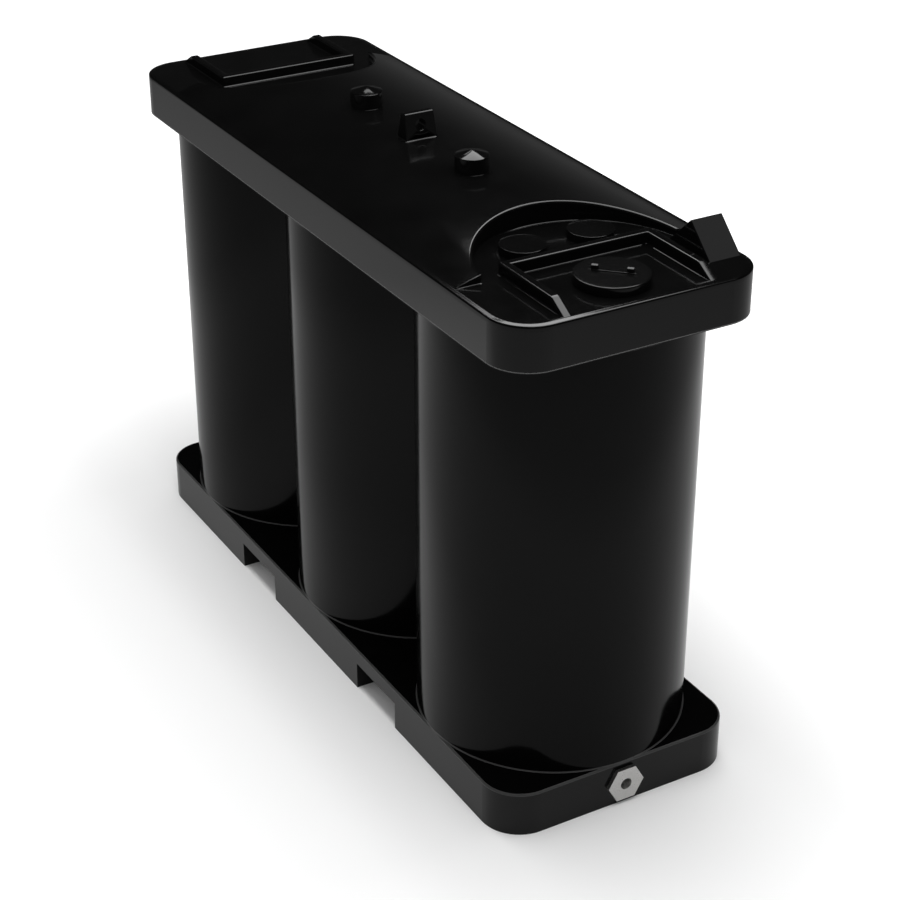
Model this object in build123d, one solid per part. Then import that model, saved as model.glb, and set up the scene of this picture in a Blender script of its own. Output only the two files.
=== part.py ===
from build123d import *
import math
import os

# Slimline water tank: three upright lobes in a row between a hollow base and a hollow deck.
# Millimetres. +X runs along the tank to the filler end, +Z is up.
# The origin is on the ground, below the middle of the tank.

# Overall sizes
length = 1970.0
width = 660.0
base_height = 116.0
lobe_height = 1085.0
deck_height = 109.0
wall = 6.0
corner_radius = 100.0

# Lid depths: how far the top and bottom panels turn down or up over the side bands
panel_lip = 26.0

# Edges of the moulding
deck_edge_radius = 13.0
base_edge_chamfer = 5.0
lobe_setback = 1.0
valley_pad_reach = 56.0

# Crown of the deck and the round bays cut into its two ends
crown_rise = 52.0
crown_setback = 250.0
bay_radius = 257.0
bay_centre_out = 35.0
bay_rim_chamfer = 5.0

# Three-sided upstand frames on the flat ends of the deck
frame_height = 28.0
frame_rib_width = 22.0
frame_inner_width = 351.0
frame_bar_setback = 275.0
frame_end_setback = 15.0
frame_ramp_run = 49.0
frame_edge_chamfer = 3.0

# Filler neck and its screw cap
filler_setback = 118.0
filler_y = -8.0
neck_bore_radius = 72.0
neck_wall = 6.0
cap_radius = 85.0
cap_plate = 5.0
cap_edge_chamfer = 2.5
cap_height = 22.0
cap_side_clearance = 1.5
cap_foot_clearance = 0.3
grip_angle = 46.0
grip_rib_length = 104.0
grip_rib_width = 3.0
grip_rib_height = 2.5
grip_post_size = 15.0
grip_post_height = 13.0
grip_post_spacing = 78.0

# Raised round bosses on the floor of the filler-end bay
boss_radius = 54.0
boss_height = 20.0
boss_from_bay_centre = 134.0
boss_y = 89.0

# Wedge block at the long edge of the filler end
wedge_length = 154.0
wedge_width = 85.0
wedge_height = 73.0

# Vent stubs and lifting lug along the middle of the crown
stub_radius = 41.0
stub_height = 38.0
stub_cone = 12.0
stub_tip_radius = 1.5
stub_x = 263.0
lug_height = 64.0
lug_foot_depth = 46.0
lug_top_depth = 20.0
lug_foot_width = 86.0
lug_top_width = 80.0
lug_hole_radius = 14.0
lug_hole_height = 34.0

# Forklift pockets through the base
pocket_width = 203.0
pocket_height = 74.0
near_pocket_x = 355.0
far_pocket_x = -334.0

# Outlet bush in the filler end of the base
outlet_y = 3.0
outlet_z = 56.0
outlet_across_flats = 86.0
outlet_hex_height = 10.0
outlet_thread_radius = 15.15
outlet_shank_radius = 33.0
outlet_shank_length = 30.0

# Worked-out sizes
half_length = length / 2
half_width = width / 2
lobe_radius = half_width - lobe_setback
lobe_bore = lobe_radius - wall
lobe_pitch = (length - width) / 2
deck_floor_z = base_height + lobe_height
deck_flat_z = deck_floor_z + deck_height
crown_half_length = half_length - crown_setback
bay_centre_x = crown_half_length + bay_centre_out
frame_bar_x = half_length - frame_bar_setback
frame_arm_top_x = half_length - frame_end_setback - frame_ramp_run
filler_x = half_length - filler_setback
boss_x = bay_centre_x - boss_from_bay_centre
crown_half_width = half_width - deck_edge_radius
crown_arc_radius = (crown_half_width**2 + crown_rise**2) / (2 * crown_rise)
crown_arc_z = deck_flat_z + crown_rise - crown_arc_radius
crown_top_z = deck_flat_z + crown_rise
frame_half_width = frame_inner_width / 2
neck_radius = neck_bore_radius + neck_wall
lobe_places = {"near": lobe_pitch, "middle": 0.0, "far": -lobe_pitch}
pocket_places = {"near": near_pocket_x, "far": far_pocket_x}
outlet_place = Pos(half_length, outlet_y, outlet_z) * Rot(0, 90, 0)

# Working values: how far a cut runs past a wall, and how closely an edge is matched to a bay
cut_reach = 2 * wall
match_distance = wall / 10


def outline(inset=0.0):
    """Plan outline of the deck and base, moved inwards by the inset."""
    return RectangleRounded(length - 2 * inset, width - 2 * inset, corner_radius - inset)


def slab(bottom, top, inset=0.0):
    """Block with the plan outline between two heights."""
    return Pos(0, 0, bottom) * extrude(outline(inset), top - bottom)


def disc(x, y, radius, bottom, top):
    """Upright cylinder between two heights."""
    return Pos(x, y, bottom) * Cylinder(radius, top - bottom, align=(Align.CENTER, Align.CENTER, Align.MIN))


def block(x_range, y_range, z_range):
    """Box between three pairs of limits."""
    size = [high - low for low, high in (x_range, y_range, z_range)]
    corner = (x_range[0], y_range[0], z_range[0])
    return Pos(*corner) * Box(*size, align=(Align.MIN, Align.MIN, Align.MIN))


def side_band(bottom, top):
    """Upright side wall that follows the plan outline."""
    return slab(bottom, top) - slab(bottom, top, wall)


def lobe_limits(name, inset=0.0):
    """Reach of one lobe along the tank, to an inset short of where it meets its neighbours."""
    x = lobe_places[name]
    meeting = lobe_pitch / 2 - inset
    low = x - (lobe_radius if name == "far" else meeting)
    high = x + (lobe_radius if name == "near" else meeting)
    return low, high


def lobe_hollow(name, bottom, top):
    """Round space inside one lobe, with a flat wall left where it meets its neighbours."""
    hollow = disc(lobe_places[name], 0, lobe_bore, bottom, top)
    return hollow & block(lobe_limits(name, wall), (-half_width, half_width), (bottom, top))


def valley_pads(name, bottom, top):
    """Flat upright pads on which a lobe meets its neighbours."""
    x = lobe_places[name]
    low, high = lobe_limits(name)
    low = x if name == "far" else low
    high = x if name == "near" else high
    return block((low, high), (-valley_pad_reach, valley_pad_reach), (bottom, top))


def with_lobe_ways(lid):
    """Panel with its outer face at height zero, hollowed to leave a lip below it, and open at each lobe."""
    hollow = slab(-panel_lip, -wall, wall)
    return lid - hollow - [lobe_hollow(name, -wall, 0) for name in lobe_places]


def base_top():
    """Top panel of the base, with its lip turned down."""
    lid = slab(-panel_lip, 0)
    lid = chamfer(lid.edges().group_by(Axis.Z)[-1], base_edge_chamfer)
    return Pos(0, 0, base_height) * with_lobe_ways(lid)


def deck_underside():
    """Under panel of the deck, with its lip turned up."""
    return Pos(0, 0, deck_floor_z) * (Rot(180, 0, 0) * with_lobe_ways(slab(-panel_lip, 0)))


def lobe_wall(name):
    """Round wall of one lobe, cut flat where it meets its neighbours."""
    heights = (base_height, deck_floor_z)
    lobe = disc(lobe_places[name], 0, lobe_radius, *heights) + valley_pads(name, *heights)
    lobe &= block(lobe_limits(name), (-half_width, half_width), heights)
    return lobe - lobe_hollow(name, *heights)


def crown_solid(offset=0.0):
    """Arched block over the middle of the deck, moved inwards by the offset, with its bays cut."""
    floor = deck_flat_z - offset
    arc = Pos(0, crown_arc_z) * Circle(crown_arc_radius - offset)
    above = Pos(0, floor) * Rectangle(width, crown_arc_radius, align=(Align.CENTER, Align.MIN))
    end = crown_half_length - offset
    arch = Pos(-end, 0, 0) * extrude(Plane.YZ * (arc & above), 2 * end)
    for side in (-1, 1):
        arch -= disc(side * bay_centre_x, 0, bay_radius + offset, floor, crown_top_z)
    return arch


def bay_rims(arch):
    """Curved top edges of the two round bays."""
    rims = ShapeList()
    for edge in arch.edges().filter_by(GeomType.LINE, reverse=True):
        middle = edge.position_at(1 / 2)
        reach = math.hypot(abs(middle.X) - bay_centre_x, middle.Y)
        if middle.Z > deck_flat_z + wall and math.isclose(reach, bay_radius, abs_tol=match_distance):
            rims.append(edge)
    return rims


def vent_stub(side):
    """Plain round stub with a shallow pointed top."""
    top = crown_top_z + stub_height
    point = Cone(stub_radius, stub_tip_radius, stub_cone, align=(Align.CENTER, Align.CENTER, Align.MIN))
    return disc(side * stub_x, 0, stub_radius, deck_flat_z, top) + Pos(side * stub_x, 0, top) * point


def bay_boss(hand):
    """Low round boss on the floor of the filler-end bay."""
    return disc(boss_x, hand * boss_y, boss_radius, deck_flat_z, deck_flat_z + boss_height)


def deck_roof():
    """Roof of the deck: arched over the middle, flat at both ends, with a round bay into each end."""
    flat = slab(deck_flat_z - panel_lip, deck_flat_z)
    flat = fillet(flat.edges().group_by(Axis.Z)[-1], deck_edge_radius)
    crown = crown_solid()
    crown = chamfer(bay_rims(crown), bay_rim_chamfer)
    roof = flat + crown + [vent_stub(side) for side in (-1, 1)] + [bay_boss(hand) for hand in (-1, 1)]
    hollow = slab(deck_flat_z - panel_lip, deck_flat_z - wall, wall) + crown_solid(wall)
    return roof - hollow - disc(filler_x, filler_y, neck_bore_radius, deck_flat_z - cut_reach, deck_flat_z)


def deck_side_band():
    """Side wall of the deck between its underside and its roof."""
    return side_band(deck_floor_z + panel_lip, deck_flat_z - panel_lip)


def base_side_band():
    """Side wall of the base, notched by the forklift pockets and bored for the outlet bush."""
    band = side_band(0, base_height - panel_lip)
    band -= outlet_place * extrude(Circle(outlet_shank_radius), -cut_reach)
    for x in pocket_places.values():
        half = pocket_width / 2
        band -= block((x - half, x + half), (-width, width), (0, pocket_height))
    return band


def forklift_channel(name):
    """Upside-down trough through the base that takes one fork."""
    x = pocket_places[name]
    half = pocket_width / 2
    side = half_width - wall
    shell = block((x - half - wall, x + half + wall), (-side, side), (0, pocket_height + wall))
    return shell - block((x - half, x + half), (-side, side), (0, pocket_height))


def foot_pan(name):
    """Bottom panel of the base on one side of a forklift pocket or between the two."""
    reach = pocket_width / 2 + wall
    limits = {
        "near": (near_pocket_x + reach, half_length),
        "middle": (far_pocket_x + reach, near_pocket_x - reach),
        "far": (-half_length, far_pocket_x - reach),
    }
    return slab(0, wall, wall) & block(limits[name], (-half_width, half_width), (0, wall))


def frame_bar(side):
    """Cross bar of an upstand frame."""
    reach = frame_half_width + frame_rib_width
    low, high = sorted((side * frame_bar_x, side * (frame_bar_x + frame_rib_width)))
    bar = block((low, high), (-reach, reach), (deck_flat_z, deck_flat_z + frame_height))
    return chamfer(bar.edges().group_by(Axis.Z)[-1], frame_edge_chamfer)


def frame_arm(side, hand):
    """Side arm of an upstand frame, with a ramp at its free end."""
    start = frame_bar_x + frame_rib_width
    foot = frame_arm_top_x + frame_ramp_run
    points = [
        (side * start, deck_flat_z),
        (side * foot, deck_flat_z),
        (side * frame_arm_top_x, deck_flat_z + frame_height),
        (side * start, deck_flat_z + frame_height),
    ]
    profile = Plane.XZ * make_face(Polyline(*points, close=True))
    middle = hand * (frame_half_width + frame_rib_width / 2)
    arm = Pos(0, middle, 0) * extrude(profile, frame_rib_width / 2, both=True)
    top = arm.edges().filter_by(Axis.X).group_by(Axis.Z)[-1]
    return chamfer(top, frame_edge_chamfer)


def filler_neck():
    """Short pipe on the deck that the cap screws over."""
    top = deck_flat_z + cap_height - cap_plate - cap_foot_clearance
    neck = disc(filler_x, filler_y, neck_radius, deck_flat_z, top)
    return neck - disc(filler_x, filler_y, neck_bore_radius, deck_flat_z, top)


def filler_cap():
    """Cap with a skirt that drops over the filler neck."""
    top = deck_flat_z + cap_height
    bottom = deck_flat_z + cap_foot_clearance
    inner = neck_radius + cap_side_clearance
    cap = disc(filler_x, filler_y, cap_radius, bottom, top)
    cap = chamfer(cap.edges().group_by(Axis.Z)[-1], cap_edge_chamfer)
    return cap - disc(filler_x, filler_y, inner, bottom, top - cap_plate)


def cap_grip():
    """Low rib across the cap with two square posts, for a bar that turns it."""
    rib = Box(grip_rib_length, grip_rib_width, grip_rib_height, align=(Align.CENTER, Align.CENTER, Align.MIN))
    grip = rib
    for hand in (-1, 1):
        post = Box(grip_post_size, grip_post_size, grip_post_height, align=(Align.CENTER, Align.MIN, Align.MIN))
        grip += Pos(hand * grip_post_spacing / 2, 0, 0) * post
    return Pos(filler_x, filler_y, deck_flat_z + cap_height) * (Rot(0, 0, grip_angle) * grip)


def wedge_block():
    """Tent-shaped block at the long edge of the filler end."""
    points = [(0, 0), (wedge_length, 0), (wedge_length / 2, wedge_height)]
    profile = Plane.XZ * make_face(Polyline(*points, close=True))
    wedge = extrude(profile, -wedge_width)
    return Pos(crown_half_length, crown_half_width - wedge_width, deck_flat_z) * wedge


def tapered_plate(foot_width, top_width, depth):
    """Upright plate whose outline narrows from its foot to its top."""
    points = [(-foot_width / 2, 0), (foot_width / 2, 0), (top_width / 2, lug_height), (-top_width / 2, lug_height)]
    return extrude(Plane.XZ * make_face(Polyline(*points, close=True)), depth / 2, both=True)


def lifting_lug():
    """Lug that tapers both ways, with a round eye for a hook."""
    lug = tapered_plate(lug_foot_depth, lug_top_depth, lug_foot_width)
    lug &= Rot(0, 0, 90) * tapered_plate(lug_foot_width, lug_top_width, lug_foot_depth)
    lug -= Pos(0, 0, lug_hole_height) * (Rot(0, 90, 0) * Cylinder(lug_hole_radius, lug_foot_depth))
    return Pos(0, 0, crown_top_z) * lug


def outlet_bush():
    """Steel hexagon bush with a round shank through the wall and a threaded way into the base."""
    hexagon = RegularPolygon(outlet_across_flats / 2, 6, major_radius=False, rotation=90)
    bush = extrude(hexagon, outlet_hex_height) + extrude(Circle(outlet_shank_radius), -outlet_shank_length)
    way = extrude(Circle(outlet_thread_radius), outlet_hex_height + outlet_shank_length)
    return outlet_place * (bush - Pos(0, 0, -outlet_shank_length) * way)


parts = {
    "base_top": base_top(),
    "base_side_band": base_side_band(),
    "deck_underside": deck_underside(),
    "deck_side_band": deck_side_band(),
    "deck_roof": deck_roof(),
    "filler_neck": filler_neck(),
    "filler_cap": filler_cap(),
    "cap_grip": cap_grip(),
    "wedge_block": wedge_block(),
    "lifting_lug": lifting_lug(),
    "outlet_bush": outlet_bush(),
}
for name in lobe_places:
    parts[f"{name}_lobe_wall"] = lobe_wall(name)
    parts[f"{name}_foot_pan"] = foot_pan(name)
for name, side in (("near", 1), ("far", -1)):
    parts[f"{name}_forklift_channel"] = forklift_channel(name)
    parts[f"{name}_frame_bar"] = frame_bar(side)
    parts[f"{name}_frame_left_arm"] = frame_arm(side, -1)
    parts[f"{name}_frame_right_arm"] = frame_arm(side, 1)

os.makedirs("parts", exist_ok=True)
for name, shape in parts.items():
    export_step(shape, f"parts/{name}.step")
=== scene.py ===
# %% [markdown]
# # A slimline water tank
# Three upright round lobes stand in a row between a hollow base and a hollow deck, all rotomoulded in black
# polyethylene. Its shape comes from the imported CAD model. This lesson gives it its surfaces, its light and its view.

# %% Load the model
import math

import bmesh
import bpy
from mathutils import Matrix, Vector


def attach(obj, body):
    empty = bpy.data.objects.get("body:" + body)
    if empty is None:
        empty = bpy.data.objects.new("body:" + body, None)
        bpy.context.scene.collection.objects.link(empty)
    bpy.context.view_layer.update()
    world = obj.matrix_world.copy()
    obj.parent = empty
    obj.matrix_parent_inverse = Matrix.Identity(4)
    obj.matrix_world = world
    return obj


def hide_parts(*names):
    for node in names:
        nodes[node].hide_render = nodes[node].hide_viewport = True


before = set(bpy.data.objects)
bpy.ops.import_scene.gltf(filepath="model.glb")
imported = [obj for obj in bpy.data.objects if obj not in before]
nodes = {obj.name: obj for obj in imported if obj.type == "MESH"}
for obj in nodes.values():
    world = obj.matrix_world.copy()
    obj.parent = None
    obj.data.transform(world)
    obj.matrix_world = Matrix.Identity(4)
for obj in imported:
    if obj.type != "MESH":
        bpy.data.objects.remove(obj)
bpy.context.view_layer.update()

# %% [markdown]
# ## The view
# The photograph looks down on one end and one long side, through a long lens that keeps upright lines nearly parallel.
# A camera can be placed by eye, or worked out from the corners of the deck, as here. It is given as a place and a
# point to look at, which stays easy to read and to change.

# %% Camera
CAMERA_PLACE = Vector((4.2468, -2.3498, 3.1270))
CAMERA_TARGET = Vector((0.0993, 0.0349, 0.5278))
CAMERA_LENS_MM = 83.75
CAMERA_SENSOR_MM = 36.0

camera_data = bpy.data.cameras.new("photo_camera")
camera_data.lens = CAMERA_LENS_MM
camera_data.sensor_width = CAMERA_SENSOR_MM
camera = bpy.data.objects.new("photo_camera", camera_data)
camera.location = CAMERA_PLACE
camera.rotation_mode = "QUATERNION"
line_of_sight = CAMERA_TARGET - CAMERA_PLACE
camera.rotation_quaternion = line_of_sight.to_track_quat("-Z", "Y")
bpy.context.scene.collection.objects.link(camera)
bpy.context.scene.camera = camera
print("Camera looks down by", round(math.degrees(math.asin(-line_of_sight.z / line_of_sight.length)), 1), "degrees")

# %% [markdown]
# ## Tools for materials
# Colours are written as sRGB hex values, as a maker's colour card gives them, and the shader needs them as linear
# light. One small function turns them. A second adds a shader node with its settings and links in one line, so that
# a material reads from top to bottom. A third turns a size in millimetres into the scale of a pattern. A noise pattern
# hardly ever leaves the span from 0.3 to 0.7, so that span is what a finish is spread over.

# %% Helpers for colours and shader nodes
NOISE_SPAN = {"From Min": 0.3, "From Max": 0.7}


def linear(hex_colour):
    """Linear RGBA of an sRGB hex colour."""
    channels = [int(hex_colour[i:i + 2], 16) / 255 for i in (1, 3, 5)]
    return [c / 12.92 if c <= 0.04045 else ((c + 0.055) / 1.055) ** 2.4 for c in channels] + [1.0]


def add_node(tree, kind, inputs=None, **settings):
    """Add a shader node. An input is a value, or the output of another node to link from."""
    node = tree.nodes.new(kind)
    for name, value in settings.items():
        setattr(node, name, value)
    for name, value in (inputs or {}).items():
        if isinstance(value, bpy.types.NodeSocket):
            tree.links.new(value, node.inputs[name])
        else:
            node.inputs[name].default_value = value
    return node


def per_metre(millimetres):
    """How many features of so many millimetres fit in a metre, which is the scale of a noise pattern."""
    return 1000.0 / millimetres


def new_material(name):
    """Material with an empty node tree and a place to plug the surface in."""
    material = bpy.data.materials.new(name)
    material.use_nodes = True
    material.node_tree.nodes.clear()
    return material, material.node_tree, material.node_tree.nodes.new("ShaderNodeOutputMaterial")


print("The middle grey #808080 in linear light:", round(linear("#808080")[0], 3))

# %% [markdown]
# ## Rotomoulded polyethylene
# Polyethylene powder melts against the inside of a turning steel mould. The skin copies the polished mould, so it is
# glossy, but it shrinks unevenly as it cools. That leaves a faint orange peel about as wide as a fingertip, and
# slightly duller patches as wide as a hand. The pigment is carbon black. A flat black would look like a hole in the
# picture, so the shape is told by what the gloss mirrors, and the noise bends those reflections a little. The lobes
# come out of the mould with a softer gloss than the deck and base. A third skin, greyer and duller, is a painted
# highlight: it paints thin light lines along the base's shoulder and the feet of the lobes. The index of refraction is
# that of polyethylene, and the level of the gloss is matched.

# %% Rotomoulded polyethylene
POLYETHYLENE_IOR = 1.51
PATCH_MM = 110.0
ORANGE_PEEL_MM = 14.0
ORANGE_PEEL_DEPTH_MM = 0.03
FINE_GRAIN_MM = 1.6
FINE_GRAIN_DEPTH_MM = 0.004


def rotomoulded_polyethylene(name, black, patch_black, roughness, gloss_level):
    """Skin of a rotational moulding, black for the tank and grey for the painted highlight skin. The roughness goes
    from a low to a high value over its patches.
    """
    material, tree, output = new_material(name)
    place = add_node(tree, "ShaderNodeTexCoord").outputs["Object"]
    patches = add_node(
        tree, "ShaderNodeTexNoise", {"Vector": place, "Scale": per_metre(PATCH_MM), "Detail": 3.0}
    ).outputs["Fac"]
    peel = add_node(
        tree, "ShaderNodeTexNoise", {"Vector": place, "Scale": per_metre(ORANGE_PEEL_MM), "Detail": 2.0}
    ).outputs["Fac"]
    grain = add_node(
        tree, "ShaderNodeTexNoise", {"Vector": place, "Scale": per_metre(FINE_GRAIN_MM), "Detail": 2.0}
    ).outputs["Fac"]
    colour = add_node(
        tree, "ShaderNodeMix", {"Factor": patches, 6: linear(black), 7: linear(patch_black)}, data_type="RGBA"
    ).outputs[2]
    dullness = add_node(
        tree, "ShaderNodeMapRange", {"Value": patches, **NOISE_SPAN, "To Min": roughness[0], "To Max": roughness[1]}
    ).outputs["Result"]
    peel_bump = add_node(
        tree, "ShaderNodeBump", {"Height": peel, "Strength": 1.0, "Distance": ORANGE_PEEL_DEPTH_MM / 1000}
    ).outputs["Normal"]
    skin = add_node(
        tree,
        "ShaderNodeBump",
        {"Height": grain, "Strength": 1.0, "Distance": FINE_GRAIN_DEPTH_MM / 1000, "Normal": peel_bump},
    ).outputs["Normal"]
    shader = add_node(
        tree,
        "ShaderNodeBsdfPrincipled",
        {
            "Base Color": colour,
            "Roughness": dullness,
            "IOR": POLYETHYLENE_IOR,
            "Specular IOR Level": gloss_level,
            "Normal": skin,
        },
    )
    tree.links.new(shader.outputs[0], output.inputs["Surface"])
    return material


tank_skin = rotomoulded_polyethylene(
    "glossy_rotomoulded_polyethylene", "#030303", "#060606", roughness=(0.07, 0.12), gloss_level=0.3
)
lobe_skin = rotomoulded_polyethylene(
    "satin_rotomoulded_polyethylene", "#040404", "#070707", roughness=(0.10, 0.15), gloss_level=0.12
)
# Painted highlight: a greyer, duller skin that paints thin light lines on the base's shoulder and the lobes' feet.
painted_highlight_skin = rotomoulded_polyethylene(
    "painted_highlight_grey_polyethylene", "#2C2C2C", "#404040", roughness=(0.3, 0.42), gloss_level=0.5
)
print("Materials:", tank_skin.name + ",", lobe_skin.name, "and", painted_highlight_skin.name)

# %% [markdown]
# ## Injection moulded polyethylene
# The screw cap is a separate moulding, made in a steel tool with a fine spark-eroded grain. It is a touch duller and
# greyer than the tank. The real grain is about a tenth of a millimetre wide, which is too fine for this picture, so
# it is drawn at half a millimetre.

# %% Injection moulded polyethylene
SPARK_GRAIN_MM = 0.5
SPARK_GRAIN_DEPTH_MM = 0.02


def moulded_cap_polyethylene():
    """Satin black plastic with a spark-eroded grain."""
    material, tree, output = new_material("satin_injection_moulded_polyethylene")
    place = add_node(tree, "ShaderNodeTexCoord").outputs["Object"]
    grain = add_node(
        tree, "ShaderNodeTexNoise", {"Vector": place, "Scale": per_metre(SPARK_GRAIN_MM), "Detail": 1.0}
    ).outputs["Fac"]
    roughness = add_node(
        tree, "ShaderNodeMapRange", {"Value": grain, **NOISE_SPAN, "To Min": 0.11, "To Max": 0.16}
    ).outputs["Result"]
    colour = add_node(
        tree, "ShaderNodeMix", {"Factor": grain, 6: linear("#040404"), 7: linear("#080808")}, data_type="RGBA"
    ).outputs[2]
    skin = add_node(
        tree, "ShaderNodeBump", {"Height": grain, "Strength": 1.0, "Distance": SPARK_GRAIN_DEPTH_MM / 1000}
    ).outputs["Normal"]
    shader = add_node(
        tree,
        "ShaderNodeBsdfPrincipled",
        {
            "Base Color": colour,
            "Roughness": roughness,
            "IOR": POLYETHYLENE_IOR,
            "Specular IOR Level": 0.3,
            "Normal": skin,
        },
    )
    tree.links.new(shader.outputs[0], output.inputs["Surface"])
    return material


cap_skin = moulded_cap_polyethylene()
print("Material:", cap_skin.name)

# %% [markdown]
# ## Painted highlight on the parting line
# The two halves of a rotational mould meet along the lower edge of the deck and leave a thin seam there. Its bead is
# painted a dull light grey with small shallow nicks in it: a painted highlight line on the glossy black.

# %% Painted highlight on the seam
NICK_MM = 1.5
NICK_DEPTH_MM = 0.05


def paint_seam_highlight():
    """Dull light grey on the seam bead, a painted highlight line."""
    material, tree, output = new_material("painted_highlight_seam_bead")
    place = add_node(tree, "ShaderNodeTexCoord").outputs["Object"]
    nicks = add_node(
        tree, "ShaderNodeTexNoise", {"Vector": place, "Scale": per_metre(NICK_MM), "Detail": 4.0, "Roughness": 0.6}
    ).outputs["Fac"]
    colour = add_node(
        tree, "ShaderNodeMix", {"Factor": nicks, 6: linear("#4A4A4A"), 7: linear("#6E6E6E")}, data_type="RGBA"
    ).outputs[2]
    roughness = add_node(tree, "ShaderNodeMapRange", {"Value": nicks, "To Min": 0.4, "To Max": 0.55}).outputs["Result"]
    skin = add_node(
        tree, "ShaderNodeBump", {"Height": nicks, "Strength": 0.5, "Distance": NICK_DEPTH_MM / 1000}
    ).outputs["Normal"]
    shader = add_node(
        tree,
        "ShaderNodeBsdfPrincipled",
        {"Base Color": colour, "Roughness": roughness, "IOR": POLYETHYLENE_IOR, "Normal": skin},
    )
    tree.links.new(shader.outputs[0], output.inputs["Surface"])
    return material


painted_seam_line = paint_seam_highlight()
print("Material:", painted_seam_line.name)

# %% [markdown]
# ## Machined stainless steel
# The outlet bush is turned from hexagon bar. Its face carries fine rings from the lathe tool around the hole, and its
# flats keep the drawn skin of the bar. A metal mirrors everything, so its grey comes from the room, and the rings
# only spread the light. Real feed marks are a tenth of a millimetre apart. Here they are 2.5 mm apart, which is as
# coarse as it takes to show. A wave pattern of scale 1 has 20 radians to the metre, and the ring spacing allows for it.

# %% Machined stainless steel
TURNING_RING_MM = 2.51327
TURNING_RING_DEPTH_MM = 0.03
SMEAR_MM = 6.0
WAVE_RADIANS = 20.0
OUTLET_AXIS_MM = (3.0, 56.0)


def machined_stainless_steel():
    """Bright steel with turning rings around the outlet's axis."""
    material, tree, output = new_material("machined_stainless_steel")
    place = add_node(tree, "ShaderNodeTexCoord").outputs["Object"]
    axis = (0.0, OUTLET_AXIS_MM[0] / 1000, OUTLET_AXIS_MM[1] / 1000)
    centred = add_node(tree, "ShaderNodeVectorMath", {0: place, 1: axis}, operation="SUBTRACT").outputs["Vector"]
    ring_scale = per_metre(TURNING_RING_MM) * 2 * math.pi / WAVE_RADIANS
    rings = add_node(
        tree,
        "ShaderNodeTexWave",
        {"Vector": centred, "Scale": ring_scale, "Distortion": 0.6, "Detail": 2.0},
        wave_type="RINGS",
        rings_direction="X",
    ).outputs["Fac"]
    smears = add_node(
        tree, "ShaderNodeTexNoise", {"Vector": place, "Scale": per_metre(SMEAR_MM), "Detail": 4.0}
    ).outputs["Fac"]
    roughness = add_node(
        tree, "ShaderNodeMapRange", {"Value": smears, **NOISE_SPAN, "To Min": 0.26, "To Max": 0.38}
    ).outputs["Result"]
    colour = add_node(
        tree, "ShaderNodeMix", {"Factor": smears, 6: linear("#EDECEA"), 7: linear("#DCDBD8")}, data_type="RGBA"
    ).outputs[2]
    skin = add_node(
        tree, "ShaderNodeBump", {"Height": rings, "Strength": 0.6, "Distance": TURNING_RING_DEPTH_MM / 1000}
    ).outputs["Normal"]
    shader = add_node(
        tree,
        "ShaderNodeBsdfPrincipled",
        {"Base Color": colour, "Metallic": 1.0, "Roughness": roughness, "Normal": skin},
    )
    tree.links.new(shader.outputs[0], output.inputs["Surface"])
    return material


outlet_steel = machined_stainless_steel()
print("Material:", outlet_steel.name)

# %% [markdown]
# ## Dressing the nodes
# Each node of the CAD model keeps its mesh and takes the material of the real piece.

# %% Give each node its material
LOBES = ("near_lobe_wall", "middle_lobe_wall", "far_lobe_wall")
CAP_PIECES = ("filler_cap", "cap_grip")
STEEL_PIECES = ("outlet_bush",)

for name, node in nodes.items():
    material = tank_skin
    if name in LOBES:
        material = lobe_skin
    elif name in CAP_PIECES:
        material = cap_skin
    elif name in STEEL_PIECES:
        material = outlet_steel
    node.data.materials.clear()
    node.data.materials.append(material)
print("Dressed", len(nodes), "nodes")

# %% [markdown]
# ## Moulded edges
# A mould has no sharp corners, and on black gloss the rounded edges are what the eye sees. The CAD solids carry the
# forms with plain edges. Here the small pieces are made again with rounded edges, and thin strips are swept where one
# form runs into another. A strip is a row of cross sections, each a short arc, joined by four-sided faces. All sizes
# are written in millimetres and turned to metres once. The near end of the tank is the one with the filler.

# %% Helpers for moulded pieces
MM = 0.001
ARC_STEPS = 6
ENDS = ((1, "near"), (-1, "far"))
UP = Vector((0.0, 0.0, 1.0))


def place_piece(name, points, faces, material=tank_skin, body="tank"):
    """Smooth mesh piece from points in millimetres. Most pieces belong to the glossy tank."""
    mesh = bpy.data.meshes.new(name)
    mesh.from_pydata([(x * MM, y * MM, z * MM) for x, y, z in points], [], faces)
    mesh.materials.append(material)
    mesh.polygons.foreach_set("use_smooth", [True] * len(mesh.polygons))
    mesh.update()
    piece = bpy.data.objects.new(name, mesh)
    bpy.context.scene.collection.objects.link(piece)
    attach(piece, body)
    return piece


def sweep(sections, closed=False):
    """Points and faces of a sheet through a row of equal cross sections."""
    count = len(sections[0])
    points = [tuple(point) for section in sections for point in section]
    faces = []
    for i in range(len(sections) if closed else len(sections) - 1):
        here, there = i * count, (i + 1) % len(sections) * count
        for j in range(count - 1):
            faces.append((here + j, there + j, there + j + 1, here + j + 1))
    return points, faces


def facing(points, faces, outward):
    """Turn every face over if the first one looks away from the outward direction."""
    a, b, c = (Vector(points[i]) for i in faces[0][:3])
    if (b - a).cross(c - a).dot(Vector(outward)) < 0:
        faces = [tuple(reversed(face)) for face in faces]
    return points, faces


def arc_angles(start=0.0, end=90.0):
    """Angles of an arc in radians, from limits in degrees."""
    return [math.radians(start + (end - start) * i / ARC_STEPS) for i in range(ARC_STEPS + 1)]


print("Each arc has", ARC_STEPS, "steps")

# %% [markdown]
# ## Heights of the deck and the base
# The strips have to lie on the arched crown, the flat ends of the deck and the rounded edge of the base. Small
# functions give those heights, so that every strip finds its own ground. The last one walks once round the outline
# that the deck and the base share.

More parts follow.
